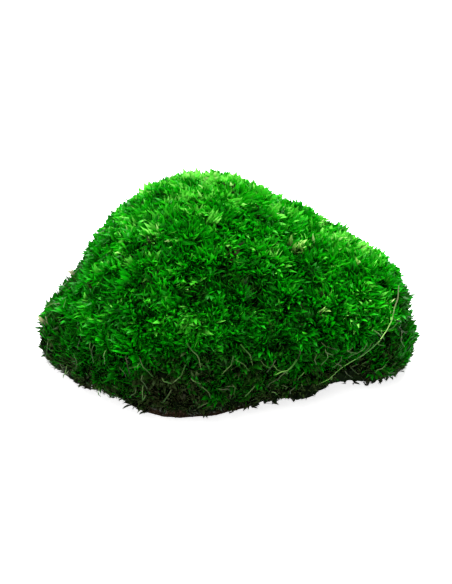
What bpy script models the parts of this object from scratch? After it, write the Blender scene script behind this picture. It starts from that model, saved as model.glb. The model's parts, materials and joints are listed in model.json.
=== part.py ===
"""A picked cushion of moss: a dome of moss tufts on the mat of soil and dead stems that it grew from.

Metres, +Z up. +X runs along the cushion's length and -Y is its front. The origin is in the
middle of the footprint, on the surface that the cushion stands on.
"""

import math
import random

import bmesh
import bpy
import numpy as np
from mathutils import Vector, kdtree

MM = 0.001

# The size of the whole cushion, and of the mat under it.
LENGTH = 119 * MM
DEPTH = 96 * MM
HEIGHT = 55 * MM
MAT_HEIGHT = 8 * MM
JOINT_GAP = 0.3 * MM  # between the mat's top and the moss on it

# Each lobe is a soft ellipsoid: its middle and its half sizes, as shares of the length, the
# depth and the height. The crown stands left of the middle, and a long slope falls from it to
# the right, where the shoulder ends blunt. The side lobe is a lower fold under the shoulder.
LOBES = {
    "crown": ((-0.05, 0.02, 0.25), (0.33, 0.45, 0.73)),
    "left_foot": ((-0.27, -0.03, 0.17), (0.225, 0.32, 0.27)),
    "front_belly": ((-0.105, -0.145, 0.25), (0.285, 0.32, 0.49)),
    "front_right": ((0.12, -0.11, 0.23), (0.24, 0.28, 0.40)),
    "right_shoulder": ((0.222, -0.045, 0.37), (0.267, 0.29, 0.36)),
    "shoulder_end": ((0.36, -0.03, 0.37), (0.105, 0.20, 0.15)),
    "back_swell": ((-0.08, 0.19, 0.22), (0.30, 0.28, 0.48)),
    "back_right": ((0.14, 0.14, 0.29), (0.23, 0.27, 0.40)),
    "side_lobe": ((0.375, -0.07, 0.16), (0.14, 0.22, 0.28)),
}
LOBE_BLEND = 8 * MM
SIDE_LOBE_BLEND = 1.5 * MM  # it keeps a crease against the shoulder
HEART = (0.02, -0.03, 0.27)  # the point that every ray starts from, in the same shares

# The moss stands in tufts, each a small rounded bump.
TUFT_SPACING = 4.6 * MM  # the least between two tufts
TUFT_RADIUS = 4.0 * MM
TUFT_RISE = 1.4 * MM
TUFT_UNEVENNESS = 0.5
TUFT_GAP_DEPTH = 0.3  # how deep the gaps between tufts are, as a share of a tuft's rise
SWELL_RISE = 1.2 * MM  # the dome's own gentle unevenness
SWELL_WAVES = ((1.7, 0.4), (2.6, 2.1), (3.9, 4.4))  # waves over the dome, and where each starts
SWELL_ALONG = 2.1  # how much closer the waves are along the cushion
SWELL_ACROSS = 1.7

# The moss's lower edge hangs over the side of the mat in an uneven hem.
HEM_THICKNESS = 1.8 * MM
HEM_DROP = 3.4 * MM
HEM_WAVES = ((3, 0.6), (7, 2.0), (16, 4.1))  # waves around the hem, and where each starts
HEM_UNEVENNESS = 0.6
HEM_TUCK = 0.3  # how far the hem draws in for each unit that it drops
HEM_CLEARANCE = 1.4 * MM  # from the hem's lowest point to the surface under the cushion

# The hem hangs lowest under the side lobe.
LOBE_ANGLE = math.radians(-14)
LOBE_WIDTH = math.radians(26)
LOBE_EXTRA_DROP = 0.6

# The mat's edge lies this far inside the moss, but shows at the bare front left.
OVERHANG = 5.0 * MM
MAT_ROUGHNESS = 0.9 * MM
BARE_ANGLE = math.radians(-112)
BARE_WIDTH = math.radians(24)
BARE_OVERHANG_LOSS = 0.3  # how much of the overhang is gone there
BARE_DROP_LOSS = 0.7  # how much of the hem's drop is gone there

CUSHION_POINTS = 6000
MAT_POINTS = 1100
RAY_SHAPE = (0.5, 0.5, 0.8)  # the rays' spread follows the dome, as shares of its size
RAY_REACH = 0.12
RAY_HALVINGS = 24
SEED = 11

MOSS_GREEN = (0.022, 0.160, 0.010, 1.0)
MOSS_SHINE = 0.8  # roughness
SOIL_BROWN = (0.045, 0.028, 0.015, 1.0)
SOIL_SHINE = 0.95

SIZE = np.array([LENGTH, DEPTH, HEIGHT])
ALONG_GROUND = np.array([1, 1, 0])
UPWARD = np.array([0, 0, 1])


def material(name, colour, roughness):
    made = bpy.data.materials.new(name)
    made.use_nodes = True
    shader = made.node_tree.nodes["Principled BSDF"]
    shader.inputs["Base Color"].default_value = colour
    shader.inputs["Roughness"].default_value = roughness
    shader.inputs["Metallic"].default_value = 0.0
    return made


def spread_directions(count):
    """Unit vectors spread evenly over a sphere, on a golden spiral."""
    turn = math.pi * (3 - math.sqrt(5))
    step = np.arange(count)
    height = 1 - 2 * (step + 0.5) / count
    ring = np.sqrt(1 - height**2)
    return np.stack([ring * np.cos(turn * step), ring * np.sin(turn * step), height], axis=1)


def flattened(directions):
    """The directions drawn out to the dome's shape, so that points lie evenly on it."""
    drawn = directions * SIZE * np.array(RAY_SHAPE)
    return drawn / np.linalg.norm(drawn, axis=1)[:, None]


def ellipsoid_distance(points, middle, half):
    """About how far each point is outside the ellipsoid, below zero inside it."""
    offset = points - middle
    near = np.linalg.norm(offset / half, axis=1)
    steep = np.linalg.norm(offset / half**2, axis=1)
    return near * (near - 1) / np.maximum(steep, 1e-9)


def soft_union(a, b, blend):
    """The smaller of two distances, rounded where they meet."""
    near = np.maximum(blend - np.abs(a - b), 0) / blend
    return np.minimum(a, b) - near**2 * blend / 4


def form_distance(points):
    """About how far each point is outside the cushion's smooth form."""
    found = None
    for name, (middle, half) in LOBES.items():
        lobe = ellipsoid_distance(points, np.array(middle) * SIZE, np.array(half) * SIZE)
        blend = SIDE_LOBE_BLEND if name == "side_lobe" else LOBE_BLEND
        found = lobe if found is None else soft_union(found, lobe, blend)
    return found


def on_form(directions, inset=0.0):
    """Where rays from the heart leave the form, or leave it shrunk by inset."""
    heart = np.array(HEART) * SIZE
    inside, outside = np.zeros(len(directions)), np.full(len(directions), RAY_REACH)
    for _ in range(RAY_HALVINGS):
        middle = (inside + outside) / 2
        within = form_distance(heart + directions * middle[:, None]) < -inset
        inside, outside = np.where(within, middle, inside), np.where(within, outside, middle)
    return heart + directions * inside[:, None]


def swell(directions):
    """A gentle unevenness from -1 to 1, the same each time."""
    total = np.zeros(len(directions))
    for wave, start in SWELL_WAVES:
        total += np.sin(wave * SWELL_ALONG * directions[:, 0] + start)
        total += np.sin(wave * SWELL_ACROSS * directions[:, 1] + 2 * start)
    return total / (2 * len(SWELL_WAVES))


def tuft_tops(points, chance):
    """Points of the form, picked by chance and none too near another: one for each tuft."""
    waiting = list(range(len(points)))
    chance.shuffle(waiting)
    tops = np.empty((0, 3))
    for index in waiting:
        gaps = np.linalg.norm(tops - points[index], axis=1)
        if not len(tops) or gaps.min() > TUFT_SPACING:
            tops = np.vstack([tops, points[index]])
    return tops


def tuft_heights(points):
    """How far the moss rises at each point: most in a tuft's middle, least between tufts."""
    chance = random.Random(SEED)
    tops = tuft_tops(points, chance)
    tree = kdtree.KDTree(len(tops))
    rises = []
    for index, top in enumerate(tops):
        tree.insert(top, index)
        rises.append(TUFT_RISE * (1 + chance.uniform(-TUFT_UNEVENNESS, TUFT_UNEVENNESS)))
    tree.balance()
    heights = []
    for point in points:
        _, index, distance = tree.find(point)
        heights.append(rises[index] * max(1 - (distance / TUFT_RADIUS) ** 2, -TUFT_GAP_DEPTH))
    return np.array(heights)


def hull_mesh(directions, places):
    """A closed mesh whose faces join neighbouring rays, with its points at the given places."""
    mesh = bmesh.new()
    for direction in directions:
        mesh.verts.new(direction)
    bmesh.ops.convex_hull(mesh, input=mesh.verts[:], use_existing_faces=False)
    mesh.verts.ensure_lookup_table()
    for vertex, place in zip(mesh.verts, places):
        vertex.co = place
    return mesh


def cut_level(mesh, height, keep_above):
    """Cuts the mesh flat at a height, and returns the edges around the open cut."""
    bmesh.ops.bisect_plane(
        mesh,
        geom=mesh.verts[:] + mesh.edges[:] + mesh.faces[:],
        plane_co=(0, 0, height),
        plane_no=(0, 0, 1 if keep_above else -1),
        clear_inner=True,
    )
    return [edge for edge in mesh.edges if edge.is_boundary]


def carry_rim(mesh, rim, move):
    """Grows a band of faces from a rim to where move takes its points, and returns the new rim."""
    grown = bmesh.ops.extrude_edge_only(mesh, edges=rim)["geom"]
    for vertex in [part for part in grown if isinstance(part, bmesh.types.BMVert)]:
        vertex.co = move(vertex.co)
    return [part for part in grown if isinstance(part, bmesh.types.BMEdge) and part.is_boundary]


def drawn_in(place, distance, height):
    """The place moved this far towards the middle, at this height."""
    inward = Vector((place.x, place.y, 0)).normalized() * distance
    return Vector((place.x - inward.x, place.y - inward.y, height))


def near_angle(angle, middle, width):
    """1 at the middle angle, falling softly to 0 beside it."""
    return np.exp(-(((angle - middle) / width) ** 2))


def hem_drop(place):
    """How far the hem hangs down: little at the bare front left, most under the side lobe."""
    angle = math.atan2(place.y, place.x)
    rise = sum(math.sin(waves * angle + start) for waves, start in HEM_WAVES) / len(HEM_WAVES)
    less = 1 - BARE_DROP_LOSS * near_angle(angle, BARE_ANGLE, BARE_WIDTH)
    more = 1 + LOBE_EXTRA_DROP * near_angle(angle, LOBE_ANGLE, LOBE_WIDTH)
    drop = HEM_DROP * (1 + HEM_UNEVENNESS * rise) * less * more
    return min(drop, MAT_HEIGHT - HEM_CLEARANCE)


def hem_edge(place):
    """Where the hem ends, below a point of the moss's cut edge."""
    drop = hem_drop(place)
    return drawn_in(place, HEM_TUCK * drop, MAT_HEIGHT - drop)


def hem_root(place):
    """Where the hem's inner side meets the flat underside of the moss."""
    return drawn_in(place, HEM_THICKNESS, MAT_HEIGHT)


def box_fit(mesh, low, high):
    """The stretch and the shift that make the mesh fill the box between two corners."""
    places = np.array([vertex.co for vertex in mesh.verts])
    now_low, now_high = places.min(axis=0), places.max(axis=0)
    stretch = (high - low) / (now_high - now_low)
    return stretch, low - now_low * stretch


def apply_fit(mesh, stretch, shift):
    for vertex in mesh.verts:
        vertex.co = np.array(vertex.co) * stretch + shift


def finish(mesh, name, finish_material):
    bmesh.ops.recalc_face_normals(mesh, faces=mesh.faces[:])
    data = bpy.data.meshes.new(name)
    mesh.to_mesh(data)
    mesh.free()
    data.materials.append(finish_material)
    bpy.context.scene.collection.objects.link(bpy.data.objects.new(name, data))


def moss_cushion():
    """The green dome, whose surface is where the tips of its shoots end. Returns its fit."""
    spread = spread_directions(CUSHION_POINTS)
    directions = flattened(spread)
    places = on_form(directions)
    rise = tuft_heights(places) + SWELL_RISE * swell(spread)
    mesh = hull_mesh(spread, places + directions * rise[:, None])
    rim = cut_level(mesh, MAT_HEIGHT, keep_above=True)
    half = np.array([LENGTH / 2, DEPTH / 2, 0.0])
    stretch, shift = box_fit(mesh, np.array([0, 0, MAT_HEIGHT]) - half, np.array([0, 0, HEIGHT]) + half)
    apply_fit(mesh, stretch, shift)
    rim = carry_rim(mesh, rim, hem_edge)
    rim = carry_rim(mesh, rim, hem_root)
    bmesh.ops.contextual_create(mesh, geom=rim)
    finish(mesh, "moss_cushion", material("moss", MOSS_GREEN, MOSS_SHINE))
    return stretch, shift


def soil_mat(stretch, shift):
    """The flat mat of soil, roots and dead stems. It follows the moss's fit along the ground."""
    chance = random.Random(SEED + 1)
    spread = spread_directions(MAT_POINTS)
    directions = flattened(spread)
    angles = np.arctan2(directions[:, 1], directions[:, 0])
    bare = near_angle(angles, BARE_ANGLE, BARE_WIDTH)
    places = on_form(directions, inset=OVERHANG * (1 - BARE_OVERHANG_LOSS * bare))
    rough = np.array([chance.uniform(-MAT_ROUGHNESS, MAT_ROUGHNESS) for _ in directions])
    mesh = hull_mesh(spread, places + directions * rough[:, None])
    apply_fit(mesh, stretch * ALONG_GROUND + UPWARD, shift * ALONG_GROUND)
    top = cut_level(mesh, MAT_HEIGHT - JOINT_GAP, keep_above=False)
    bmesh.ops.contextual_create(mesh, geom=top)
    bottom = cut_level(mesh, 0.0, keep_above=True)
    bmesh.ops.contextual_create(mesh, geom=bottom)
    finish(mesh, "soil_mat", material("soil", SOIL_BROWN, SOIL_SHINE))


def main():
    for old in list(bpy.data.objects):
        bpy.data.objects.remove(old)
    stretch, shift = moss_cushion()
    soil_mat(stretch, shift)


main()
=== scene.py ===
# %% [markdown]
# # A picked cushion of moss
#
# A moss cushion is one plant body: thousands of upright shoots, each a few centimetres tall and
# wrapped in narrow pointed leaves, packed so tightly that only their last few millimetres see
# the light. Those tips make the green skin. Below it the shoots are brown and dead, and at the
# bottom they hold a flat mat of soil together.
#
# The frame gives two solids at their real size: the cushion's outer form, where the shoot tips
# end, and the mat. This script grows the real surface on them. Lengths are in metres, unless a
# comment says millimetres.

# %% Load the frame
import json
import math
import random

import bmesh
import bpy
import numpy as np
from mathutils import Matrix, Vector
from mathutils.bvhtree import BVHTree

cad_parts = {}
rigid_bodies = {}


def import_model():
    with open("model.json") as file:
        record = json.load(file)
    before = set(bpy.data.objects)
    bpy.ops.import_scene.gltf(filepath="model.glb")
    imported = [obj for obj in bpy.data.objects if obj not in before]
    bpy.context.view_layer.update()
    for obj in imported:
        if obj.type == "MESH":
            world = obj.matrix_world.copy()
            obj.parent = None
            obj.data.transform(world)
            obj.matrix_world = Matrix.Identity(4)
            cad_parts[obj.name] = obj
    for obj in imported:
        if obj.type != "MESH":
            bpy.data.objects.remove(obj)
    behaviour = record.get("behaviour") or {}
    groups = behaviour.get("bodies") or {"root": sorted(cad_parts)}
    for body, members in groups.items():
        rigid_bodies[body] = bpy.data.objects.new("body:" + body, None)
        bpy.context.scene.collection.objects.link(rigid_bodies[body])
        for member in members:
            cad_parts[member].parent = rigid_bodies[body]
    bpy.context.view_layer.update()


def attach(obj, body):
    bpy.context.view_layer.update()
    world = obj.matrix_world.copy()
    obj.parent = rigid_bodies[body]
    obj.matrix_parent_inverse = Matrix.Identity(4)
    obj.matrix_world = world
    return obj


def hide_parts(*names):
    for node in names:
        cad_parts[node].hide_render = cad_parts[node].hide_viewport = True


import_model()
MM = 0.001

# %% [markdown]
# ## The camera
#
# The cushion is seen from the front, from about 34 degrees above, and from almost a metre away,
# so its far side is hardly smaller than its near side. A long lens from the same place closes in
# on it. The sensor is fitted to the picture's width, because the picture is taller than wide.

# %% Camera
VIEW_ELEVATION = math.radians(34)
VIEW_DISTANCE = 900 * MM
WIDTH_SEEN = 140 * MM
SENSOR_WIDTH = 36.0  # millimetres
LOOK_AT = Vector((0, 0, 19.5 * MM))


def add_camera():
    data = bpy.data.cameras.new("camera")
    data.sensor_fit = "HORIZONTAL"
    data.sensor_width = SENSOR_WIDTH
    data.lens = SENSOR_WIDTH * VIEW_DISTANCE / WIDTH_SEEN
    data.clip_start = 10 * MM
    camera = bpy.data.objects.new("camera", data)
    bpy.context.scene.collection.objects.link(camera)
    toward = Vector((0, -math.cos(VIEW_ELEVATION), math.sin(VIEW_ELEVATION)))
    camera.location = LOOK_AT + toward * VIEW_DISTANCE
    camera.rotation_euler = toward.to_track_quat("Z", "Y").to_euler()
    bpy.context.scene.camera = camera
    return camera


camera = add_camera()
print("lens:", round(camera.data.lens, 1), "mm")

# %% [markdown]
# ## Floor and light
#
# The picture's ground is plain white. A lamp high at the back right lights the crown and the far
# edge of the dome, as in the picture, and the front is left to a weak fill, so that it falls into
# shade towards its base. The sheet under the cushion glows a little, as a sheet lit from below
# does, so that it stays white without a bright sky, which would light the gaps between the leaves.

# %% Floor and light
FLOOR_HALF = 1.5
FLOOR_DROP = 0.2 * MM
FLOOR_WHITE = (0.9, 0.9, 0.9, 1)
FLOOR_GLOW = 0.80
SKY_STRENGTH = 0.22
LAMPS = (
    # name, direction, distance and size in metres, and power in watts
    ("high_back_lamp", (0.16, 0.52, 1.0), 1.2, 0.7, 50.0),
    ("front_fill", (-0.5, -1.0, 1.1), 1.6, 0.9, 8.0),
)


def add_floor():
    mesh = bmesh.new()
    bmesh.ops.create_grid(mesh, x_segments=1, y_segments=1, size=FLOOR_HALF)
    bmesh.ops.translate(mesh, verts=mesh.verts, vec=(0, 0, -FLOOR_DROP))
    data = bpy.data.meshes.new("floor")
    mesh.to_mesh(data)
    mesh.free()
    floor = bpy.data.objects.new("floor", data)
    bpy.context.scene.collection.objects.link(floor)
    white = bpy.data.materials.new("floor_white")
    white.use_nodes = True
    sheet = white.node_tree.nodes["Principled BSDF"].inputs
    sheet["Base Color"].default_value = FLOOR_WHITE
    sheet["Roughness"].default_value = 0.9
    sheet["Emission Color"].default_value = (1, 1, 1, 1)
    sheet["Emission Strength"].default_value = FLOOR_GLOW
    data.materials.append(white)


def add_lamp(name, direction, distance, size, power):
    """A square soft lamp that shines on the cushion from a direction."""
    data = bpy.data.lights.new(name, "AREA")
    data.shape = "SQUARE"
    data.size = size
    data.energy = power
    lamp = bpy.data.objects.new(name, data)
    bpy.context.scene.collection.objects.link(lamp)
    lamp.location = Vector(direction).normalized() * distance
    lamp.rotation_euler = Vector(direction).to_track_quat("Z", "Y").to_euler()


add_floor()
for lamp_values in LAMPS:
    add_lamp(*lamp_values)
world = bpy.data.worlds.new("studio")
bpy.context.scene.world = world
world.use_nodes = True
world.node_tree.nodes["Background"].inputs["Color"].default_value = (1, 1, 1, 1)
world.node_tree.nodes["Background"].inputs["Strength"].default_value = SKY_STRENGTH
bpy.context.scene.view_settings.view_transform = "Standard"

# %% [markdown]
# ## A short way to build node trees
#
# Materials and Geometry Nodes are both trees of nodes. One helper adds a node, sets its options
# and fills its sockets: a value is written into the socket, and another node's output is linked.

# %% Node helper
def add_node(tree, kind, inputs=None, **options):
    node = tree.nodes.new(kind)
    for name, value in options.items():
        setattr(node, name, value)
    for key, value in (inputs or {}).items():
        if isinstance(value, bpy.types.NodeSocket):
            tree.links.new(value, node.inputs[key])
        else:
            node.inputs[key].default_value = value
    return node


def new_material(name, roughness, shine):
    made = bpy.data.materials.new(name)
    made.use_nodes = True
    shader = made.node_tree.nodes["Principled BSDF"]
    shader.inputs["Roughness"].default_value = roughness
    shader.inputs["Specular IOR Level"].default_value = shine
    return made, made.node_tree, shader


def color_ramp(tree, factor, stops):
    """A ramp of colours: stops are (place, (red, green, blue)), in linear light."""
    node = add_node(tree, "ShaderNodeValToRGB", {"Fac": factor})
    ramp = node.color_ramp
    while len(ramp.elements) < len(stops):
        ramp.elements.new(1.0)
    for element, (place, colour) in zip(ramp.elements, stops):
        element.position = place
        element.color = (*colour, 1)
    return node.outputs["Color"]


# %% [markdown]
# ## Colour along a leaf
#
# Every leaf, stem and crumb has a narrow strip of its piece's UV map: across the map runs the
# tint, from dead on the left to pale on the right, and up the map a strip runs from its root to
# its tip. Two ramps give the root's and the tip's colour for a tint, and a mix goes from one to
# the other along the leaf. Because the colour depends on the map alone, leaves that share a tint
# can share a place on it.
#
# A moss leaf is one cell thick, so light that falls on its far side comes through. A translucent
# shader, mixed with the plain one, does that, and it makes the tips glow against the back lamp.

# %% Strand materials
LEAF_MAP = "OFBake"
ROOT_COLOUR_ENDS = 0.18
TIP_COLOUR_STARTS = 0.84
LEAF_TIPS = (
    (0.00, (0.010, 0.010, 0.004)),
    (0.09, (0.024, 0.032, 0.010)),
    (0.18, (0.038, 0.072, 0.018)),
    (0.23, (0.010, 0.078, 0.003)),
    (0.31, (0.003, 0.125, 0.001)),
    (0.44, (0.001, 0.240, 0.001)),
    (0.56, (0.004, 0.390, 0.001)),
    (0.66, (0.050, 0.560, 0.018)),
    (0.76, (0.170, 0.760, 0.070)),
    (0.88, (0.400, 0.920, 0.190)),
    (1.00, (0.620, 0.680, 0.330)),
)
LEAF_ROOTS = (
    (0.00, (0.010, 0.005, 0.002)),
    (0.20, (0.003, 0.010, 0.001)),
    (0.46, (0.001, 0.046, 0.001)),
    (0.60, (0.001, 0.090, 0.001)),
    (0.74, (0.008, 0.160, 0.003)),
    (1.00, (0.070, 0.190, 0.025)),
)
STRAND_TIPS = (
    (0.00, (0.030, 0.036, 0.014)),
    (0.35, (0.090, 0.150, 0.045)),
    (0.62, (0.160, 0.460, 0.055)),
    (0.88, (0.400, 0.800, 0.160)),
    (1.00, (0.560, 0.470, 0.320)),
)
STRAND_ROOTS = (
    (0.00, (0.008, 0.010, 0.004)),
    (0.60, (0.030, 0.130, 0.012)),
    (1.00, (0.140, 0.110, 0.070)),
)
SOIL_TIPS = (
    (0.00, (0.004, 0.003, 0.002)),
    (0.45, (0.016, 0.009, 0.005)),
    (0.80, (0.050, 0.030, 0.016)),
    (1.00, (0.240, 0.160, 0.090)),
)
SOIL_ROOTS = (
    (0.00, (0.003, 0.002, 0.001)),
    (1.00, (0.060, 0.034, 0.016)),
)


def let_light_through(tree, shader, colour, share):
    """Mixes in light that comes through a thin leaf from behind."""
    glow = add_node(tree, "ShaderNodeBsdfTranslucent", {"Color": colour})
    mixed = add_node(tree, "ShaderNodeMixShader", {0: share, 1: shader.outputs[0], 2: glow.outputs[0]})
    tree.links.new(mixed.outputs[0], tree.nodes["Material Output"].inputs["Surface"])


def strand_material(name, tips, roots, roughness, shine, through=0.0):
    """A material whose colour is read from the map: tint across, root to tip upwards."""
    made, tree, shader = new_material(name, roughness, shine)
    place = add_node(tree, "ShaderNodeUVMap", uv_map=LEAF_MAP).outputs["UV"]
    split = add_node(tree, "ShaderNodeSeparateXYZ", {"Vector": place})
    along = add_node(
        tree,
        "ShaderNodeMapRange",
        {"Value": split.outputs["Y"], "From Min": ROOT_COLOUR_ENDS, "From Max": TIP_COLOUR_STARTS},
        interpolation_type="SMOOTHSTEP",
    )
    blend = add_node(tree, "ShaderNodeMix", data_type="RGBA")
    tree.links.new(along.outputs["Result"], blend.inputs["Factor"])
    tree.links.new(color_ramp(tree, split.outputs["X"], roots), blend.inputs["A"])
    tree.links.new(color_ramp(tree, split.outputs["X"], tips), blend.inputs["B"])
    tree.links.new(blend.outputs["Result"], shader.inputs["Base Color"])
    if through:
        let_light_through(tree, shader, blend.outputs["Result"], through)
    return made


LEAVES = strand_material("moss_leaves", LEAF_TIPS, LEAF_ROOTS, roughness=0.45, shine=0.1, through=0.4)
STRANDS = strand_material("stray_strands", STRAND_TIPS, STRAND_ROOTS, roughness=0.5, shine=0.1)
CRUMBS = strand_material("soil_crumbs", SOIL_TIPS, SOIL_ROOTS, roughness=0.9, shine=0.15)
print("strand materials:", [m.name for m in (LEAVES, STRANDS, CRUMBS)])

# %% [markdown]
# ## The ground that the shoots stand on
#
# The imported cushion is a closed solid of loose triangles. A merged copy of it, without its
# underside and its hem's inner side, is divided once and smoothed a little, so that the shoots'
# tips can end on it.

# %% Ground mesh
SHOOT_NODE = "moss_cushion"
MAT_NODE = "soil_mat"
HEART = Vector((0, 0, 14 * MM))
WELD_REACH = 0.01 * MM
FACING_DOWN = -0.8


def merged_copy(node, name):
    """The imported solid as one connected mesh; the solid itself stays as it is."""
    source = bpy.data.objects[node]
    mesh = bmesh.new()
    mesh.from_mesh(source.data)
    bmesh.ops.transform(mesh, matrix=source.matrix_world, verts=mesh.verts)
    bmesh.ops.remove_doubles(mesh, verts=mesh.verts, dist=WELD_REACH)
    data = bpy.data.meshes.new(name)
    mesh.to_mesh(data)
    mesh.free()
    return data


def mesh_points(data):
    found = np.empty(len(data.vertices) * 3)
    data.vertices.foreach_get("co", found)
    return found.reshape(-1, 3)


def mesh_edges(data):
    found = np.empty(len(data.edges) * 2, dtype=int)
    data.edges.foreach_get("vertices", found)
    return found.reshape(-1, 2)


def mesh_normals(data):
    found = np.empty(len(data.vertices) * 3)
    data.vertex_normals.foreach_get("vector", found)
    return found.reshape(-1, 3)


def smooth_points(points, edges, turns):
    """Each point moved halfway to the middle of its neighbours, this many times."""
    count = np.bincount(edges.ravel(), minlength=len(points))[:, None]
    for _ in range(turns):
        total = np.zeros_like(points)
        np.add.at(total, edges[:, 0], points[edges[:, 1]])
        np.add.at(total, edges[:, 1], points[edges[:, 0]])
        points = 0.5 * points + 0.5 * total / count
    return points


def unit(vectors):
    return vectors / np.maximum(np.linalg.norm(vectors, axis=1)[:, None], 1e-9)


def is_hidden(face):
    """True for the faces of the underside and of the hem's inner side."""
    return face.normal.z < FACING_DOWN or face.normal.dot(face.calc_center_median() - HEART) < 0


def ground_mesh(node, name):
    data = merged_copy(node, name)
    mesh = bmesh.new()
    mesh.from_mesh(data)
    bmesh.ops.delete(mesh, geom=[face for face in mesh.faces if is_hidden(face)], context="FACES")
    bmesh.ops.subdivide_edges(mesh, edges=mesh.edges, cuts=1, use_grid_fill=True)
    axes = {"use_axis_x": True, "use_axis_y": True, "use_axis_z": True}
    bmesh.ops.smooth_vert(mesh, verts=mesh.verts, factor=0.5, **axes)
    mesh.to_mesh(data)
    mesh.free()
    return data


ground = ground_mesh(SHOOT_NODE, "ground")
mat_ground = ground_mesh(MAT_NODE, "mat_ground")
print("ground faces:", len(ground.polygons), "and", len(mat_ground.polygons))

# %% [markdown]
# ## What the ground tells each shoot
#
# The ground carries five marks that the planting reads. The lean is the way a shoot grows: out
# of its tuft, but ever more upright lower down, where the cushion was torn from its neighbours
# and its shoots are seen from the side. There the lean is also longer, so that chance turns it
# less and the low edge stays even. The growth is a shoot's width and length: low down it is short
# and slender. The tone is the shoot's colour from dead to pale, and it holds painted light and
# shade besides the moss's own colour. It rises with height: brown at the base, where the shoots
# are dead, olive above it and bright green on the dome, and the darkening low down is partly
# painted shade, the brightening towards the crown partly painted light. Yellow-green on the far
# rim, where the form faces the light from high at the back, is a painted highlight, and so are
# the lighter crests of the tufts, with painted shade in the hollows between them. Some patches
# take the place of the usual tone: painted shade in the side fold and on the low front, painted
# light on both slopes and on the crown, and a few duller ones. The region is the piece that the
# shoot belongs to, and the band marks the low edge. The ground itself moves in a little lower
# down, so that the tips of the upright shoots there still end on the imported form.
#
# In the fold between the dome and its side lobe the shoots are a little smaller, chance turns
# them less, and the ground hardly moves in, so that the edge there is as even as in the picture.
#
# The mat's crumbs stand the way its side faces. Their growth is the same all over it, and their
# tone is left to chance.

# %% Lean, growth, tone and region
SMOOTH_TURNS = 14
TUFT_SPREAD = 0.75
REGIONS = ("crown", "right", "back_right", "back_left", "left", "front_left", "front_right")
CROWN_SHARE = 0.56
SECTOR = 60  # degrees of the side that a piece takes
BAND_TOP = 17 * MM
# every list of heights below is in millimetres above the foot
TONE_HEIGHTS = (3, 7, 11, 17, 25, 36, 46, 54)
# darker towards the foot, where the shoots are dead and brown and painted shade is added, and lighter
# towards the crown, partly painted light
TONES = (0.06, 0.10, 0.16, 0.28, 0.38, 0.43, 0.46, 0.49)
UP_HEIGHTS = (6, 12, 20, 30)
UP_LEANS = (1.0, 0.8, 0.34, 0.12)
UP_TAKES = 0.5  # of the outward lean
CALM_HEIGHTS = (5, 13, 24)
CALM = (3.6, 1.9, 1.0)
GROWTH_HEIGHTS = (4, 8, 13, 24)
GROWTH_WIDTHS = (0.36, 0.48, 0.86, 1.04)
GROWTH_LENGTHS = (0.55, 0.75, 1.0, 1.04)
INSET_HEIGHTS = (8, 16, 26, 44)
INSETS = (2.4, 1.4, 0.2, 0.0)  # millimetres
# painted light: the tone rises where the form faces the light from high at the back, most on the far rim
SUN = Vector((0.14, 0.56, 0.80)).normalized()
PAINTED_SUN_TONE = 0.25
SUN_POWER = 10
SUN_HEIGHT = 30  # millimetres up, where it is at its full
# painted light and shade: tone per metre above or below the smoothed form, lighter on the crests of the
# tufts and darker in the hollows between them
CREST_LIGHT_AND_SHADE = 0.11 / MM
CRUMB_GROWTH = 0.6
CRUMB_TONES = (0.05, 0.85)
FOLD_SPOTS = (
    # middle and half size in millimetres
    ((52.0, -20.0, 10.0), (9.0, 13.0, 8.0)),
    ((57.0, -8.0, 18.0), (6.5, 14.0, 13.0)),
)
# painted shade: the tone in the side fold
FOLD_SHADE_TONE = 0.24
FOLD_CALM = 2
FOLD_SMALLER = 0.10
FOLD_STAYS = 0.9
PATCHES = (
    # middle and half size in millimetres, tone, and how fully it takes the place of the usual one
    # painted shade in and around the side fold
    *((*spot, FOLD_SHADE_TONE, 1.0) for spot in FOLD_SPOTS),
    ((49.0, -20.0, 7.0), (7.5, 8.0, 6.0), 0.12, 0.9),
    ((55.0, -10.0, 25.0), (5.0, 12.0, 6.0), 0.24, 0.9),
    # painted shade on the low front; the darkest, on its left, is the painted shadow of a neighbouring
    # cushion that is not built
    ((5.0, -43.0, 22.0), (19.0, 9.0, 7.0), 0.20, 0.85),
    ((-18.0, -46.0, 14.0), (10.0, 8.0, 9.0), 0.06, 0.95),
    ((38.0, -30.0, 17.0), (7.0, 5.0, 5.0), 0.38, 0.7),
    ((4.0, -30.0, 42.0), (14.0, 10.0, 8.0), 0.34, 0.7),
    ((24.0, -31.0, 33.0), (9.0, 7.0, 7.0), 0.36, 0.5),
    # painted light on a lump at the front, on both slopes and on the crown; the left end and the back are a
    # little duller
    ((-15.0, -39.0, 33.5), (8.0, 6.0, 6.0), 0.62, 0.8),
    ((-38.0, -21.0, 27.0), (15.0, 12.0, 10.0), 0.50, 0.8),
    ((-43.0, 1.0, 32.0), (9.0, 9.0, 12.0), 0.35, 0.8),
    ((45.0, -22.0, 28.0), (9.0, 9.0, 9.0), 0.54, 0.8),
    ((21.0, 11.0, 42.0), (11.0, 9.0, 7.0), 0.62, 0.7),
    ((38.0, 2.0, 37.0), (12.0, 9.0, 7.0), 0.62, 0.8),
    ((0.0, 48.0, 24.0), (64.0, 30.0, 26.0), 0.34, 0.8),
)


def region_of(place, half):
    """The index of the moss piece that a place belongs to: the crown, or a sixth of the side."""
    across, along = place.x / half.x, place.y / half.y
    if math.hypot(across, along) < CROWN_SHARE:
        return 0
    turn = (math.degrees(math.atan2(along, across)) + SECTOR / 2) % 360
    return 1 + int(turn // SECTOR)


def add_values(data, name, kind, domain, values):
    key = "vector" if kind == "FLOAT_VECTOR" else "value"
    data.attributes.new(name, kind, domain).data.foreach_set(key, np.asarray(values).ravel())


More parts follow.
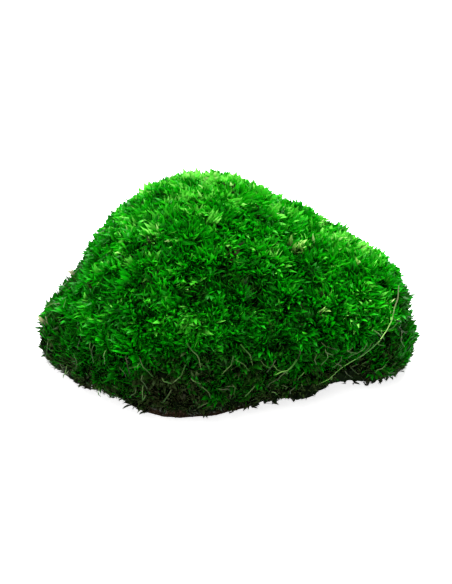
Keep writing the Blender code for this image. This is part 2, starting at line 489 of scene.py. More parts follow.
def broad_form(data):
    """The ground's points and normals once its tufts are smoothed away."""
    smooth_data = data.copy()
    smooth = smooth_points(mesh_points(data), mesh_edges(data), SMOOTH_TURNS)
    smooth_data.vertices.foreach_set("co", smooth.ravel())
    smooth_data.update()
    normals = mesh_normals(smooth_data)
    bpy.data.meshes.remove(smooth_data)
    return smooth, normals


def nearness(points, middle, half):
    """1 in the middle of a patch, falling softly to 0 past its half size (both in millimetres)."""
    away = np.linalg.norm((points / MM - np.array(middle)) / np.array(half), axis=1)
    return np.exp(-(away ** 3))


def patched(points, tone):
    for middle, half, goal, share in PATCHES:
        weight = share * nearness(points, middle, half)
        tone = tone * (1 - weight) + goal * weight
    return tone


def add_face_marks(data, half):
    faces = data.polygons
    add_values(data, "region", "INT", "FACE", [region_of(face.center, half) for face in faces])
    add_values(data, "band", "INT", "FACE", [int(face.center.z < BAND_TOP) for face in faces])


def mark_moss(data):
    points, bumpy = mesh_points(data), mesh_normals(data)
    smooth, broad = broad_form(data)
    height = points[:, 2] / MM
    crest = np.einsum("ij,ij->i", points - smooth, broad)
    up = np.interp(height, UP_HEIGHTS, UP_LEANS)[:, None]
    out = broad + TUFT_SPREAD * (bumpy - broad)
    out[:, 2] = np.maximum(out[:, 2], 0)
    lean = unit(out * (1 - UP_TAKES * up) + up * np.array([0, 0, 1]))
    fold = np.max([nearness(points, *spot) for spot in FOLD_SPOTS], axis=0)
    lean *= (np.interp(height, CALM_HEIGHTS, CALM) + FOLD_CALM * fold)[:, None]
    # painted light: the tone rises where the broad form faces the light from high at the back
    painted_sun = np.maximum(broad @ np.array(SUN), 0) ** SUN_POWER * np.clip(height / SUN_HEIGHT, 0, 1)
    # the tone with painted light and shade in it: the patches, the far rim, and the crests lighter and the
    # hollows darker
    tone = patched(points, np.interp(height, TONE_HEIGHTS, TONES)) + PAINTED_SUN_TONE * painted_sun + CREST_LIGHT_AND_SHADE * crest
    sizes = (np.interp(height, GROWTH_HEIGHTS, usual) for usual in (GROWTH_WIDTHS, GROWTH_LENGTHS))
    wide, long = (size * (1 - FOLD_SMALLER * fold) for size in sizes)
    add_values(data, "lean", "FLOAT_VECTOR", "POINT", lean)
    add_values(data, "growth", "FLOAT_VECTOR", "POINT", np.column_stack((wide, wide, long)))
    add_values(data, "tone", "FLOAT", "POINT", tone)
    add_face_marks(data, Vector(np.ptp(points, axis=0) / 2))
    inset = np.interp(height, INSET_HEIGHTS, INSETS) * MM
    inset *= 1 - FOLD_STAYS * fold
    data.vertices.foreach_set("co", (points - broad * inset[:, None]).ravel())
    data.update()
    return tone


def mark_mat(data):
    points = mesh_points(data)
    add_values(data, "lean", "FLOAT_VECTOR", "POINT", mesh_normals(data))
    add_values(data, "growth", "FLOAT_VECTOR", "POINT", np.full_like(points, CRUMB_GROWTH))
    tone = np.random.default_rng(9).uniform(*CRUMB_TONES, len(points))
    add_values(data, "tone", "FLOAT", "POINT", tone)
    add_face_marks(data, Vector(np.ptp(points, axis=0) / 2))
    return tone


for made in (mark_moss(ground), mark_mat(mat_ground)):
    print("tone from", round(made.min(), 2), "to", round(made.max(), 2))

# %% [markdown]
# ## One shoot
#
# The top of a shoot is a brush of narrow leaves set around a stem on a spiral. The lowest stand
# out the most, and the last ones close over the tip. They all sweep to one side like sickles, and
# that gives the moss its combed, curly grain. A shoot is used thousands of times, so a leaf is
# only three faces long. A few shoots with different chances are enough, because each is turned
# and sized as it is planted. Some leaves of every shoot are paler or darker than the rest.

# %% Shoot shapes
SHOOT_KINDS = 8
SHOOT_SEED = 100
LEAVES_PER_SHOOT = 16
STEM_LENGTH = 2.2 * MM
STEM_RADIUS = 0.15  # millimetres
LEAF_LENGTH = 6.0 * MM
LENGTH_CHANCES = (0.75, 1.2)
LEAF_WIDTH = 1.55 * MM
WIDTH_CHANCES = (0.7, 1.2)
LEAF_STATIONS = (0.0, 0.36, 0.72, 1.0)
LEAF_WIDTHS = (0.6, 1.0, 0.7, 0.0)
LEAF_TURN = math.pi * (3 - math.sqrt(5))
TURN_CHANCE = 0.3
OPEN_ANGLE = 44  # degrees between the lowest leaf and the stem
OPEN_FALL = 32  # degrees less at the shoot's tip
OPEN_CHANCE = 9  # degrees
TWIST_CHANCE = 0.6
TIP_SHORTER = 0.22
SICKLE = 0.5
SICKLE_CHANCES = (0.5, 1.3)
SICKLE_DROOP = 0.3
ROOT_DEPTH = 0.66  # in leaf lengths
MAP_HALF = 0.008
MAP_START = 0.02
MAP_REACH = 0.96
LEAF_TINTS = (-0.04, 0.03)
PALE_LEAF_SHARE = 0.06
PALE_LEAF_TINTS = (0.10, 0.20)


def strand_points(root, way, side, length, width, sweep):
    """A curved leaf's corners: two at each station, and one at the tip."""
    points, place, before = [], root, 0.0
    for reach, wide in zip(LEAF_STATIONS, LEAF_WIDTHS):
        place = place + way * length * (reach - before)
        if reach:
            way = (way + sweep).normalized()
        before = reach
        half = side * width * wide / 2
        points += [place - half, place + half] if wide else [place]
    return points


def leaf_points(chance, share, turn):
    open_angle = math.radians(OPEN_ANGLE - OPEN_FALL * share + chance.uniform(-OPEN_CHANCE, OPEN_CHANCE))
    out = Vector((math.cos(turn), math.sin(turn), 0))
    twist = chance.uniform(-TWIST_CHANCE, TWIST_CHANCE)
    side = Vector((-math.sin(turn), math.cos(turn), twist)).normalized()
    depth = STEM_LENGTH * (1 - share) + ROOT_DEPTH * LEAF_LENGTH
    root = out * STEM_RADIUS * MM - Vector((0, 0, depth))
    way = out * math.sin(open_angle) + Vector((0, 0, math.cos(open_angle)))
    bend = SICKLE * chance.uniform(*SICKLE_CHANCES)
    length = LEAF_LENGTH * (1 - TIP_SHORTER * share) * chance.uniform(*LENGTH_CHANCES)
    width = LEAF_WIDTH * chance.uniform(*WIDTH_CHANCES)
    return strand_points(root, way, side, length, width, Vector((bend, 0, -SICKLE_DROOP * bend)))


def leaf_tint(chance):
    """How much paler or darker a leaf is than its shoot."""
    if chance.random() < PALE_LEAF_SHARE:
        return chance.uniform(*PALE_LEAF_TINTS)
    return chance.uniform(*LEAF_TINTS)


def strands_mesh(name, strands):
    """One mesh of strands, each a list of corners (pairs of them, and a tip) and a tint."""
    points, faces, places = [], [], []
    for corners, tint in strands:
        start = len(points)
        points += corners
        left, right = tint - MAP_HALF, tint + MAP_HALF
        pairs = len(corners) // 2
        last = pairs - 1
        heights = [MAP_START + MAP_REACH * step / pairs for step in range(pairs + 1)]
        for step in range(last):
            low = start + 2 * step
            faces.append((low, low + 1, low + 3, low + 2))
            places += [(left, heights[step]), (right, heights[step])]
            places += [(right, heights[step + 1]), (left, heights[step + 1])]
        faces.append((start + 2 * last, start + 2 * last + 1, start + 2 * last + 2))
        places += [(left, heights[last]), (right, heights[last]), (tint, heights[last + 1])]
    data = bpy.data.meshes.new(name)
    data.from_pydata(points, [], faces)
    layer = data.uv_layers.new(name=LEAF_MAP)
    layer.data.foreach_set("uv", [value for place in places for value in place])
    data.shade_smooth()
    return data


def shoot_mesh(kind):
    chance = random.Random(SHOOT_SEED + kind)
    strands = []
    for leaf in range(LEAVES_PER_SHOOT):
        share = (leaf + 0.5) / LEAVES_PER_SHOOT
        turn = leaf * LEAF_TURN + chance.uniform(-TURN_CHANCE, TURN_CHANCE)
        corners = leaf_points(chance, share, turn)
        strands.append((corners, leaf_tint(chance)))
    return strands_mesh(f"shoot_{kind}", strands)


def make_kinds(name, count, shape):
    """A collection of meshes to plant: shape(kind) makes each."""
    made = bpy.data.collections.new(name)
    for kind in range(count):
        made.objects.link(bpy.data.objects.new(f"{name}_{kind}", shape(kind)))
    return made


shoots = make_kinds("shoots", SHOOT_KINDS, shoot_mesh)

# %% [markdown]
# ## Stems of the low edge, and crumbs of soil
#
# At the base, where the light doesn't reach, the shoots have lost most of their leaves, and long
# thin olive and brown stems show. The mat under them is dark earth in crumbs, which are small
# lumps with uneven corners. Both are planted in the same way as the shoots.

# %% Stem and crumb shapes
STEM_KINDS = 5
STEM_SEED = 300
STEMS_PER_KIND = 5
LONG_STEM = 9.0 * MM
STEM_LENGTHS = (0.5, 1.0)  # of the long stem
STEM_WIDTH = 0.42 * MM
STEM_WIDTHS = (0.6, 1.3)
STEM_LEANS = (0.05, 0.45)
STEM_SWEEPS = (-0.2, 0.3)
STEM_RING = 1.2  # millimetres from the middle of the bunch
STEM_DEPTH = 0.62  # of the long stem
STEM_TINTS = (-0.05, 0.14)
CRUMB_KINDS = 6
CRUMB_SEED = 500
CRUMB_SIZE = 0.8 * MM
CRUMB_CHANCES = (0.55, 1.25)
CRUMB_FLATNESS = 0.8
CRUMB_TINTS = (-0.05, 0.2)
CRUMB_MAP = ((-1, 0.1), (1, 0.1), (0, 0.9))


def stem_mesh(kind):
    chance = random.Random(STEM_SEED + kind)
    strands = []
    for _ in range(STEMS_PER_KIND):
        turn = chance.uniform(0, 2 * math.pi)
        out = Vector((math.cos(turn), math.sin(turn), 0))
        side = Vector((-math.sin(turn), math.cos(turn), 0))
        way = (Vector((0, 0, 1)) + out * chance.uniform(*STEM_LEANS)).normalized()
        length = LONG_STEM * chance.uniform(*STEM_LENGTHS)
        root = out * chance.uniform(0, STEM_RING) * MM - Vector((0, 0, STEM_DEPTH * LONG_STEM))
        sweep = out * chance.uniform(*STEM_SWEEPS)
        width = STEM_WIDTH * chance.uniform(*STEM_WIDTHS)
        corners = strand_points(root, way, side, length, width, sweep)
        strands.append((corners, chance.uniform(*STEM_TINTS)))
    return strands_mesh(f"stem_{kind}", strands)


def crumb_mesh(kind):
    chance = random.Random(CRUMB_SEED + kind)
    mesh = bmesh.new()
    bmesh.ops.create_icosphere(mesh, subdivisions=1, radius=CRUMB_SIZE)
    for vertex in mesh.verts:
        vertex.co *= chance.uniform(*CRUMB_CHANCES)
        vertex.co.z *= CRUMB_FLATNESS
    layer = mesh.loops.layers.uv.new(LEAF_MAP)
    tint = chance.uniform(*CRUMB_TINTS)
    for face in mesh.faces:
        for loop, (across, height) in zip(face.loops, CRUMB_MAP):
            loop[layer].uv = (tint + across * MAP_HALF, height)
    data = bpy.data.meshes.new(f"crumb_{kind}")
    mesh.to_mesh(data)
    mesh.free()
    return data


stems = make_kinds("stems", STEM_KINDS, stem_mesh)
crumbs = make_kinds("crumbs", CRUMB_KINDS, crumb_mesh)

# %% [markdown]
# ## Planting
#
# Geometry Nodes scatter the shoots: points are spread over the ground with a least distance
# between them, and a shoot stands on each and leans the way that the ground says. A slow noise
# turns neighbours the same way, so that their leaves sweep together in curls. The tint is the
# ground's tone, which a broad noise, a finer one and a little chance raise or lower by a share of
# itself, and now and then a shoot is dead or pale. The same tree makes every piece, so no seam
# shows between them.

# %% Planting tree
POINT_DENSITY = 3.0e6  # points to the square metre, before the least distance thins them
NOISE_LOW, NOISE_HIGH = 0.3, 0.7  # most of a noise's values lie between these
BUNCH_SCALE = 260.0
CURL_SCALE, CURL_TURN = 110.0, 4 * math.pi
SPIN_CHANCE = 0.9
BROAD_SCALE, BROAD_SWING = 80.0, 0.11
FINE_SCALE, FINE_SWING = 170.0, 0.38
CHANCE_SWING = 0.08
DEAD_SHARE = 0.006
DEAD_DROP = 0.8
PALE_SHARE = 0.025
PALE_RISE = 0.7
TINT_LOWEST, TINT_HIGHEST = 0.06, 0.76
FOOT_CLEARANCE = 0.2 * MM


def worked_out(tree, operation, first, second):
    """A sum, a product or a comparison (1 where it is true) of two values."""
    return add_node(tree, "ShaderNodeMath", {0: first, 1: second}, operation=operation).outputs["Value"]


def add_values_up(tree, parts):
    total = parts[0]
    for part in parts[1:]:
        total = worked_out(tree, "ADD", total, part)
    return total


def scaled(tree, vector, scale):
    node = add_node(tree, "ShaderNodeVectorMath", {0: vector, "Scale": scale}, operation="SCALE")
    return node.outputs["Vector"]


def chance_between(tree, low, high, seed):
    node = add_node(tree, "FunctionNodeRandomValue", {2: low, 3: high, "Seed": seed}, data_type="FLOAT")
    return node.outputs[1]


def ground_value(tree, name, kind):
    node = add_node(tree, "GeometryNodeInputNamedAttribute", {"Name": name}, data_type=kind)
    return node.outputs["Attribute"]


def noise_between(tree, place, scale, low, high):
    noise = add_node(tree, "ShaderNodeTexNoise", {"Vector": place, "Scale": scale, "Detail": 2.0})
    limits = {"From Min": NOISE_LOW, "From Max": NOISE_HIGH, "To Min": low, "To Max": high}
    node = add_node(tree, "ShaderNodeMapRange", {"Value": noise.outputs["Fac"], **limits})
    return node.outputs["Result"]


def add_points(tree, given):
    """Points with a least distance between them, of which only this piece's stay."""
    spread = add_node(
        tree,
        "GeometryNodeDistributePointsOnFaces",
        {
            "Mesh": given["Ground"],
            "Distance Min": given["Spacing"],
            "Density Max": POINT_DENSITY,
            "Seed": given["Seed"],
        },
        distribute_method="POISSON",
    )
    marks = add_node(tree, "GeometryNodeInputNamedAttribute", {"Name": given["Mark"]}, data_type="INT")
    mine = add_node(
        tree,
        "FunctionNodeCompare",
        {2: marks.outputs["Attribute"], 3: given["Wanted"]},
        data_type="INT",
        operation="EQUAL",
    )
    parted = {"Geometry": spread.outputs["Points"], "Selection": mine.outputs["Result"]}
    return add_node(tree, "GeometryNodeSeparateGeometry", parted, domain="POINT").outputs["Selection"]


def add_turning(tree, given, place):
    """Each shoot leans with the ground and its bunch, and curls with its neighbours."""
    stray = add_node(
        tree,
        "FunctionNodeRandomValue",
        {"Min": (-1, -1, -1), "Max": (1, 1, 1), "Seed": 3},
        data_type="FLOAT_VECTOR",
    ).outputs["Value"]
    bunch = add_node(tree, "ShaderNodeTexNoise", {"Vector": place, "Scale": BUNCH_SCALE, "Detail": 0.0})
    about_zero = {0: bunch.outputs["Color"], 1: (0.5, 0.5, 0.5)}
    centred = add_node(tree, "ShaderNodeVectorMath", about_zero, operation="SUBTRACT").outputs["Vector"]
    way = ground_value(tree, "lean", "FLOAT_VECTOR")
    for part in (scaled(tree, stray, given["Unruly"]), scaled(tree, centred, given["Bunching"])):
        way = add_node(tree, "ShaderNodeVectorMath", {0: way, 1: part}).outputs["Vector"]
    upright = add_node(tree, "FunctionNodeAlignRotationToVector", {"Vector": way}, axis="Z")
    curl = noise_between(tree, place, CURL_SCALE, 0.0, CURL_TURN)
    spin = add_values_up(tree, [curl, chance_between(tree, -SPIN_CHANCE, SPIN_CHANCE, 5)])
    about = add_node(tree, "FunctionNodeAxisAngleToRotation", {"Axis": (0, 0, 1), "Angle": spin})
    turned = {"Rotation": upright.outputs["Rotation"], "Rotate By": about.outputs["Rotation"]}
    return add_node(tree, "FunctionNodeRotateRotation", turned, rotation_space="LOCAL").outputs["Rotation"]


def add_tint(tree, given, place):
    luck = chance_between(tree, 0.0, 1.0, 9)
    dead = worked_out(tree, "LESS_THAN", luck, DEAD_SHARE)
    pale = worked_out(tree, "GREATER_THAN", luck, 1 - PALE_SHARE)
    swings = [
        noise_between(tree, place, BROAD_SCALE, 1 - BROAD_SWING, 1 + BROAD_SWING),
        noise_between(tree, place, FINE_SCALE, -FINE_SWING, FINE_SWING),
        chance_between(tree, -CHANCE_SWING, CHANCE_SWING, 11),
        worked_out(tree, "MULTIPLY", dead, -DEAD_DROP),
        worked_out(tree, "MULTIPLY", pale, PALE_RISE),
    ]
    own = worked_out(tree, "MULTIPLY", ground_value(tree, "tone", "FLOAT"), add_values_up(tree, swings))
    total = add_values_up(tree, [own, given["Fresher"]])
    limits = {"Value": total, "Min": TINT_LOWEST, "Max": TINT_HIGHEST}
    return add_node(tree, "ShaderNodeClamp", limits).outputs["Result"]


def add_above_foot(tree, geometry):
    """Nothing hangs below the foot that the cushion rests on."""
    place = add_node(tree, "GeometryNodeInputPosition").outputs["Position"]
    compared = {0: place, 1: (-1, -1, FOOT_CLEARANCE)}
    lifted = add_node(tree, "ShaderNodeVectorMath", compared, operation="MAXIMUM")
    raised = {"Geometry": geometry, "Position": lifted.outputs["Vector"]}
    return add_node(tree, "GeometryNodeSetPosition", raised).outputs["Geometry"]


def add_mapping(tree, geometry, material):
    """Makes real meshes of the planted ones, and moves each across the map to its own tint."""
    real = add_node(tree, "GeometryNodeRealizeInstances", {"Geometry": geometry})
    shift = add_node(tree, "ShaderNodeCombineXYZ", {"X": ground_value(tree, "tint", "FLOAT")})
    own = ground_value(tree, LEAF_MAP, "FLOAT_VECTOR")
    moved = add_node(tree, "ShaderNodeVectorMath", {0: own, 1: shift.outputs["Vector"]})
    mapped = add_node(
        tree,
        "GeometryNodeStoreNamedAttribute",
        {"Geometry": real.outputs["Geometry"], "Name": LEAF_MAP, "Value": moved.outputs["Vector"]},
        data_type="FLOAT2",
        domain="CORNER",
    )
    covered = {"Geometry": add_above_foot(tree, mapped.outputs["Geometry"]), "Material": material}
    return add_node(tree, "GeometryNodeSetMaterial", covered).outputs["Geometry"]


def planting_tree():
    tree = bpy.data.node_groups.new("planting", "GeometryNodeTree")
    kinds = {
        "Ground": "NodeSocketGeometry",
        "Shapes": "NodeSocketCollection",
        "Mark": "NodeSocketString",
        "Wanted": "NodeSocketInt",
        "Spacing": "NodeSocketFloat",
        "Smallest": "NodeSocketFloat",
        "Largest": "NodeSocketFloat",
        "Unruly": "NodeSocketFloat",
        "Bunching": "NodeSocketFloat",
        "Fresher": "NodeSocketFloat",
        "Seed": "NodeSocketInt",
        "Material": "NodeSocketMaterial",
    }
    sockets = {}
    for name, kind in kinds.items():
        sockets[name] = tree.interface.new_socket(name, in_out="INPUT", socket_type=kind)
    tree.interface.new_socket("Planted", in_out="OUTPUT", socket_type="NodeSocketGeometry")
    given = add_node(tree, "NodeGroupInput").outputs
    place = add_node(tree, "GeometryNodeInputPosition").outputs["Position"]
    size = chance_between(tree, given["Smallest"], given["Largest"], 7)
    shapes = add_node(
        tree,
        "GeometryNodeCollectionInfo",
        {"Collection": given["Shapes"], "Separate Children": True, "Reset Children": True},
    )
    standing = add_node(
        tree,
        "GeometryNodeInstanceOnPoints",
        {
            "Points": add_points(tree, given),
            "Instance": shapes.outputs["Instances"],
            "Pick Instance": True,
            "Rotation": add_turning(tree, given, place),
            "Scale": scaled(tree, ground_value(tree, "growth", "FLOAT_VECTOR"), size),
        },
    )
    tinted = add_node(
        tree,
        "GeometryNodeStoreNamedAttribute",
        {"Geometry": standing.outputs["Instances"], "Name": "tint", "Value": add_tint(tree, given, place)},
        data_type="FLOAT",
        domain="INSTANCE",
    )
    planted = add_mapping(tree, tinted.outputs["Geometry"], given["Material"])
    add_node(tree, "NodeGroupOutput", {"Planted": planted})
    return tree, sockets


PLANTING, PLANTING_SOCKETS = planting_tree()
print("nodes in the planting tree:", len(PLANTING.nodes))

# %% [markdown]
# ## Planting the pieces
#
# The tree runs once for each of the seven pieces of shoots, once for the stems of the low edge
# and once for the crumbs. Unruly is how far chance turns each one, and bunching how far it leans
# with its neighbours. What grows is kept as a plain mesh, without the marks that the planting
# read, so that the piece stands on its own.

# %% Plant the shoots, the stems and the crumbs
GROUND_MARKS = ("tint", "lean", "growth", "tone", "region", "band")
SHOOT_PLANTING = {
    "Shapes": shoots,
    "Spacing": 1.85 * MM,
    "Smallest": 0.8,
    "Largest": 1.25,
    "Unruly": 0.22,
    "Bunching": 1.6,
    "Fresher": 0.0,
    "Seed": 4,
    "Material": LEAVES,
}
STEM_PLANTING = {
    "Shapes": stems,
    "Spacing": 1.6 * MM,
    "Smallest": 0.7,
    "Largest": 1.1,
    "Unruly": 0.25,
    "Bunching": 0.8,
    "Fresher": 0.03,
    "Seed": 21,
    "Material": LEAVES,
}
CRUMB_PLANTING = {
    "Shapes": crumbs,
    "Spacing": 1.0 * MM,
    "Smallest": 0.4,
    "Largest": 1.1,
    "Unruly": 1.5,
    "Bunching": 0.0,
    "Fresher": 0.0,
    "Seed": 31,
    "Material": CRUMBS,
}


def add_object(name, data):
    made = bpy.data.objects.new(name, data)
    bpy.context.scene.collection.objects.link(made)
    return made


def plant(name, floor_mesh, **values):
    """Runs the planting tree on a ground, and keeps what it makes as a plain mesh."""
    host = add_object("host", floor_mesh)
    planter = host.modifiers.new("planting", "NODES")
    planter.node_group = PLANTING
    for socket, value in values.items():
        planter[PLANTING_SOCKETS[socket].identifier] = value
    host.update_tag()
    graph = bpy.context.evaluated_depsgraph_get()
    data = bpy.data.meshes.new_from_object(host.evaluated_get(graph))
    bpy.data.objects.remove(host)
    for extra in [a.name for a in data.attributes if a.name in GROUND_MARKS]:
        data.attributes.remove(data.attributes[extra])
    data.name = name
    corners = np.empty(len(data.loops) * 2)
    data.uv_layers[LEAF_MAP].data.foreach_get("uv", corners)
    data.calc_loop_triangles()
    tints = corners[0::2]
    print(name, "triangles:", len(data.loop_triangles), "tints:", tints.min().round(2), tints.max().round(2))
    return add_object(name, data)


moss_pieces = []
for index, region_name in enumerate(REGIONS):
    piece = plant(f"moss_shoots_{region_name}", ground, Mark="region", Wanted=index, **SHOOT_PLANTING)
    moss_pieces.append(piece)
moss_pieces.append(plant("edge_stems", ground, Mark="band", Wanted=1, **STEM_PLANTING))
soil_crumbs = plant("soil_crumbs", mat_ground, Mark="band", Wanted=1, **CRUMB_PLANTING)
for piece in moss_pieces:
    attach(piece, "root")
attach(soil_crumbs, "root")

# %% [markdown]
# ## Stray strands, bright tips and dry bits
#
# A few things break the even grain. Long strands lie over the moss, the two longest one after
# the other along the ridge above the side fold, and thin olive ones hang over the low edge all
# round. One small tuft near the crown is yellow-green, and so are a few leaves on the right
# slope. A few dry beige bits lie at the left end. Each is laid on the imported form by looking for
# the form's surface from the cushion's middle, in a direction given in degrees.

# %% Strays
STRAY_LINES = (
    # directions (azimuth, elevation) along the strand, width in millimetres, and tint
    (((-12, 16), (-18, 13), (-24, 11), (-27, 7), (-31, 5)), 0.60, 0.80),
    (((-29, 6), (-33, 4), (-37, 2), (-41, -1), (-47, -3), (-53, -6)), 0.50, 0.50),
    (((-105, 20), (-101, 16), (-99, 10)), 0.42, 0.34),
    (((-87, 15), (-88, 11), (-92, 8)), 0.40, 0.38),
    (((-84, 19), (-80, 14), (-79, 9)), 0.45, 0.36),
    (((-61, 9), (-65, 5), (-71, 4)), 0.50, 0.50),
    (((-105, 12), (-106, 8), (-109, 5)), 0.40, 0.30),
)
LOOSE_STRANDS = 160
LOOSE_HEIGHTS = (-8, 9)  # degrees of elevation
LOOSE_REACH = 3.2  # degrees
LOOSE_BEND = 1.6
LOOSE_WIDTHS = (0.26, 0.42)
LOOSE_TINTS = (0.04, 0.46)
BRIGHT_TUFTS = ((-20, 54), (-24, 51), (-22, 47), (-27, 52), (-45, 25), (-15, 28))
BRIGHT_LEAVES = 5
BRIGHT_TINTS = (0.72, 0.90)
DRY_BITS = ((167, 6), (-171, 1))
DRY_LEAVES = 2
DRY_TINTS = (0.97, 0.99)
TUFT_OPENING = 0.8
TUFT_RING = 0.8  # millimetres
TUFT_DEPTH = 0.6  # in leaf lengths
TUFT_SWEEP = 0.3
TUFT_LENGTHS = (0.7, 1.0)  # in leaf lengths
STRAND_LIFT = 0.1 * MM
STRAND_STEPS = 7
STRAND_GLANCE = 0.05
STRAND_NARROWS = 0.5
STRAY_SEED = 77
OUTSIDE = 0.2  # metres from the middle, well clear of the form


def surface_at(tree, azimuth, elevation):
    """Where the form's surface lies in a direction from the cushion's middle, and its normal."""
    turn, rise = math.radians(azimuth), math.radians(elevation)
    way = Vector((math.cos(turn) * math.cos(rise), math.sin(turn) * math.cos(rise), math.sin(rise)))
    place, normal, _, _ = tree.ray_cast(HEART + way * OUTSIDE, -way)
    return place, normal


def along_line(stops, share):
    """The direction at a share of the way along a line of directions."""
    steps = np.linspace(0, 1, len(stops))
    return tuple(float(np.interp(share, steps, [stop[axis] for stop in stops])) for axis in (0, 1))


def lying_points(tree, stops, width):
    """The corners of a strand that lies on the form and narrows to a point."""
    points = []
    for step in range(STRAND_STEPS):
        share = step / (STRAND_STEPS - 1)
        place, normal = surface_at(tree, *along_line(stops, share))
        ahead, _ = surface_at(tree, *along_line(stops, min(share + STRAND_GLANCE, 1.0)))
        behind, _ = surface_at(tree, *along_line(stops, max(share - STRAND_GLANCE, 0.0)))
        middle = place + normal * STRAND_LIFT
        middle.z = max(middle.z, FOOT_CLEARANCE)
        across = normal.cross(ahead - behind).normalized()
        half = across * 0.5 * width * MM * (1 - STRAND_NARROWS * share)
        points += [middle] if step == STRAND_STEPS - 1 else [middle - half, middle + half]
    return points


def loose_lines(chance):
    """Short thin olive strands over the low edge, bent at their middle."""
    lines = []
    for _ in range(LOOSE_STRANDS):
        start = Vector((chance.uniform(-180, 180), chance.uniform(*LOOSE_HEIGHTS)))
        step = Vector((chance.uniform(-LOOSE_REACH, LOOSE_REACH), chance.uniform(1, LOOSE_REACH)))
        bend = Vector((chance.uniform(-LOOSE_BEND, LOOSE_BEND), 0))
        stops = (start, start + step + bend, start + step * 2)
        lines.append((stops, chance.uniform(*LOOSE_WIDTHS), chance.uniform(*LOOSE_TINTS)))
    return lines


def tuft_leaves(tree, chance):
    """Small bunches of leaves that stand out in colour: the bright tufts and the dry bits."""
    leaves = []
    spots = [(spot, BRIGHT_LEAVES, BRIGHT_TINTS) for spot in BRIGHT_TUFTS]
    spots += [(spot, DRY_LEAVES, DRY_TINTS) for spot in DRY_BITS]
    for (azimuth, elevation), count, tints in spots:
        place, normal = surface_at(tree, azimuth, elevation)
        for _ in range(count):
            stray = Vector([chance.uniform(-1, 1) for _ in range(3)])
            way = (normal + stray * TUFT_OPENING).normalized()
            side = way.cross(normal + stray).normalized()
            root = place + stray * TUFT_RING * MM - normal * TUFT_DEPTH * LEAF_LENGTH
            sweep = Vector([chance.uniform(-TUFT_SWEEP, TUFT_SWEEP) for _ in range(3)])
            length = LEAF_LENGTH * chance.uniform(*TUFT_LENGTHS)
            corners = strand_points(root, way, side, length, LEAF_WIDTH, sweep)
            leaves.append((corners, chance.uniform(*tints)))
    return leaves


form_data = merged_copy(SHOOT_NODE, "form")
form_corners = [vertex.co for vertex in form_data.vertices]
form = BVHTree.FromPolygons(form_corners, [tuple(face.vertices) for face in form_data.polygons])
stray_chance = random.Random(STRAY_SEED)
stray_parts = tuft_leaves(form, stray_chance)
for stops, width, tint in (*STRAY_LINES, *loose_lines(stray_chance)):
    stray_parts.append((lying_points(form, stops, width), tint))
strays = add_object("stray_strands", strands_mesh("stray_strands", stray_parts))
strays.data.materials.append(STRANDS)
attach(strays, "root")
print("stray strands and leaves:", len(stray_parts), "faces:", len(strays.data.polygons))

# %% [markdown]
# ## The dark heart and the mat
#
# Between the shoots the eye looks down into shade. A solid a little smaller than the cushion
# closes the view there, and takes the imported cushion's place in the picture. Its hem moves in
# level and not up, so that no bare band shows above the mat. The mat is divided and roughened, and
# its foot stays flat, because the cushion rests on it.

# %% Heart and mat
HEART_TURNS = 3
HEART_HEIGHTS = (8, 20)  # millimetres
HEART_DEPTHS = (3.0, 3.2)  # millimetres
HEM_TOP = 7.5 * MM
LEAST_LEVEL = 0.5
MAT_GRAIN = 0.45 * MM
MAT_SEED = 5
FLAT_REACH = 0.05 * MM
SHADE_ROUGHNESS = 0.95
SHADE_SHINE = 0.02
HEART_SCALE = 500.0
# painted shade: the heart's near-black stands for the stems deep between the shoots, lying in shade
HEART_COLOURS = ((0.3, (0.001, 0.002, 0.001)), (0.7, (0.004, 0.011, 0.002)))
MAT_SCALE = 700.0
MAT_COLOURS = ((0.3, (0.004, 0.003, 0.002)), (0.55, (0.014, 0.008, 0.004)), (0.75, (0.045, 0.026, 0.013)))


def inner_mesh():
    """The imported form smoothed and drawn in, its hem only level, and never below the foot."""
    data = merged_copy(SHOOT_NODE, "moss_heart")
    points, edges = mesh_points(data), mesh_edges(data)
    smooth = smooth_points(points, edges, HEART_TURNS)
    data.vertices.foreach_set("co", smooth.ravel())
    data.update()
    depth = np.interp(points[:, 2] / MM, HEART_HEIGHTS, HEART_DEPTHS) * MM
    facing, hem = mesh_normals(data), points[:, 2] < HEM_TOP
    inside = hem & (np.einsum("ij,ij->i", facing, points - np.array(HEART)) < 0)
    facing[hem, 2] = 0
    facing[hem] /= np.maximum(np.linalg.norm(facing[hem], axis=1), LEAST_LEVEL)[:, None]
    facing[inside] = 0
    inner = smooth - facing * depth[:, None]
    inner[hem, 2] = np.minimum(inner[hem, 2], points[hem, 2])
    inner[:, 2] = np.maximum(inner[:, 2], points[:, 2].min())
    data.vertices.foreach_set("co", inner.ravel())
    data.update()
    return data


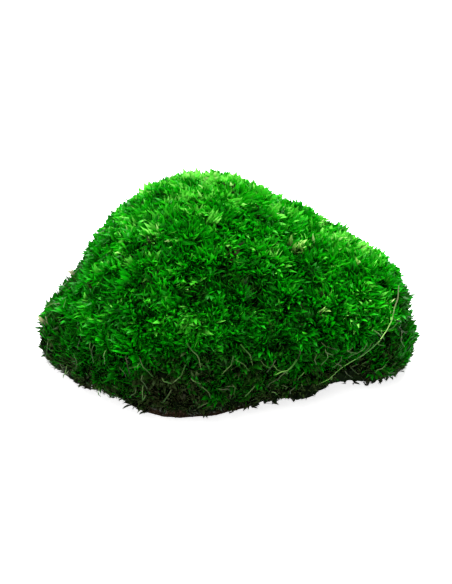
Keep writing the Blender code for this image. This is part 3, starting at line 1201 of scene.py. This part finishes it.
def rough_mat_mesh():
    """The mat divided finely, with its side roughened and its foot and top left flat."""
    data = merged_copy(MAT_NODE, "soil_body")
    mesh = bmesh.new()
    mesh.from_mesh(data)
    low = min(vertex.co.z for vertex in mesh.verts)
    high = max(vertex.co.z for vertex in mesh.verts)

    def on_side(vertex):
        return min(vertex.co.z - low, high - vertex.co.z) > FLAT_REACH

    side = [edge for edge in mesh.edges if any(on_side(vertex) for vertex in edge.verts)]
    bmesh.ops.subdivide_edges(mesh, edges=side, cuts=2, use_grid_fill=True)
    chance = random.Random(MAT_SEED)
    for vertex in mesh.verts:
        if on_side(vertex):
            vertex.co += vertex.normal * chance.uniform(-MAT_GRAIN, MAT_GRAIN)
            vertex.co.z = max(vertex.co.z, low)
    bmesh.ops.triangulate(mesh, faces=[face for face in mesh.faces if len(face.verts) > 4])
    mesh.to_mesh(data)
    mesh.free()
    return data


def shade_material(name, scale, stops):
    """A dull dark material with a grain of the given colours."""
    made, tree, shader = new_material(name, SHADE_ROUGHNESS, SHADE_SHINE)
    place = add_node(tree, "ShaderNodeTexCoord").outputs["Object"]
    noise = add_node(tree, "ShaderNodeTexNoise", {"Vector": place, "Scale": scale, "Detail": 3.0})
    tree.links.new(color_ramp(tree, noise.outputs["Fac"], stops), shader.inputs["Base Color"])
    return made


heart = add_object("moss_heart", inner_mesh())
heart.data.materials.clear()
heart.data.materials.append(shade_material("moss_shade", HEART_SCALE, HEART_COLOURS))
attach(heart, "root")
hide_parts(SHOOT_NODE)

soil_body = add_object("soil_body", rough_mat_mesh())
soil_body.data.materials.clear()
soil_body.data.materials.append(shade_material("soil_earth", MAT_SCALE, MAT_COLOURS))
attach(soil_body, "root")
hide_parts(MAT_NODE)
print("heart faces:", len(heart.data.polygons), "mat faces:", len(soil_body.data.polygons))

# %% [markdown]
# ## What only helped
#
# The single shoots, stems and crumbs were patterns, and the grounds only told them where to
# stand. They go, and the pieces stay.

# %% Put the helpers away
for kinds in (shoots, stems, crumbs):
    for shape in list(kinds.objects):
        bpy.data.objects.remove(shape)
    bpy.data.collections.remove(kinds)
for helper in (ground, mat_ground, form_data):
    bpy.data.meshes.remove(helper)
